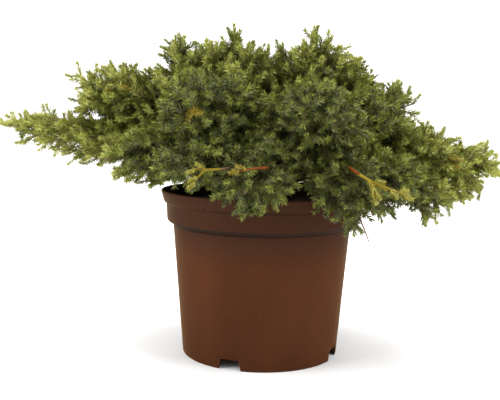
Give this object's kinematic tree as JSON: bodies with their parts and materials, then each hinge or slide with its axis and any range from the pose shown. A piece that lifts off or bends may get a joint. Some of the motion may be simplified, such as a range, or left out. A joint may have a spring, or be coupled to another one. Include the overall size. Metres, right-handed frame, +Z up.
{
  "type": "creeping juniper in a nursery pot",
  "caption": "Low spreading juniper with short awl needles on outstretched boughs, growing in a tapered brown plastic nursery pot with a banded rim and drainage notches.",
  "frame": {"origin": "middle of the pot's flat underside, at the height of the ground it stands on", "axes": "+Z up along the pot's axis, +X to the right seen from the front, along the plant's widest spread, and -Y towards the front"},
  "size_m": [0.4631, 0.3331, 0.3017],
  "materials": {
    "pot_plastic": "brown moulded plastic, satin",
    "compost": "dark moist peat compost, rough",
    "bark": "thin flaking orange-brown bark",
    "needles": "olive to yellow-green needles, slightly waxy"
  },
  "bodies": {
    "root": {"pot": "pot_plastic", "soil": "compost", "trunk": "bark", "bough_right_front": "bark", "bough_left_arm": "bark", "bough_right_arm": "bark", "bough_left_back": "bark", "bough_back_left": "bark", "bough_back_right": "bark", "bough_front_right": "bark", "bough_right_back": "bark", "bough_left_front": "bark", "bough_front_left": "bark", "bough_front_middle": "bark", "bough_left_upper": "bark", "bough_right_upper": "bark", "bough_brow_right": "bark", "bough_brow_left": "bark", "bough_shoulder_right": "bark", "bough_back_upper": "bark", "bough_top_left": "bark", "bough_top_right": "bark", "bough_top_middle": "bark", "foliage_left_arm": "needles", "foliage_left_upper": "needles", "foliage_left_front": "needles", "foliage_left_back": "needles", "foliage_back_left": "needles", "foliage_back_right": "needles", "foliage_right_back": "needles", "foliage_right_arm": "needles", "foliage_right_front": "needles", "foliage_front_right": "needles", "foliage_front_middle": "needles", "foliage_front_left": "needles", "foliage_brow_left": "needles", "foliage_brow_right": "needles", "foliage_top_left": "needles", "foliage_top_middle": "needles", "foliage_top_right": "needles", "foliage_shoulder_right": "needles", "foliage_right_upper": "needles", "foliage_back_upper": "needles"}
  },
  "joints": []
}
